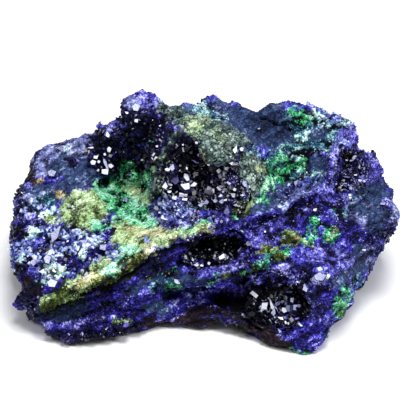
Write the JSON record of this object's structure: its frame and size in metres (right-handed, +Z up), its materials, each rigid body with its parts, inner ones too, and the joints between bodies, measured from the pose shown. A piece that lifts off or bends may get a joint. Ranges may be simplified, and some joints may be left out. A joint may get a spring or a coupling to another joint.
{
  "type": "azurite specimen",
  "caption": "Free-standing hand specimen of azurite and malachite: a broken lump of vein with ledges, a boss and crystal-lined vugs, resting on a flat underside.",
  "frame": {"origin": "on the flat underside, near its middle", "axes": "+X to the right of the display side, which is the longest extent; -Y out of the display side; +Z up"},
  "size_m": [0.0783, 0.0524, 0.0381],
  "materials": {
    "azurite_mass": "rough blue azurite with green malachite patches, sparkling crystal faces",
    "boss_vug_crystals": "glossy near-black azurite crystals",
    "ledge_vug_crystals": "glossy near-black azurite crystals",
    "lower_vug_crystals": "glossy dark blue azurite crystals",
    "corner_pocket_crystals": "glossy violet-black azurite crystals"
  },
  "bodies": {
    "root": {"azurite_mass": "azurite_mass", "boss_vug_crystals": "boss_vug_crystals", "ledge_vug_crystals": "ledge_vug_crystals", "lower_vug_crystals": "lower_vug_crystals", "corner_pocket_crystals": "corner_pocket_crystals"}
  },
  "joints": []
}
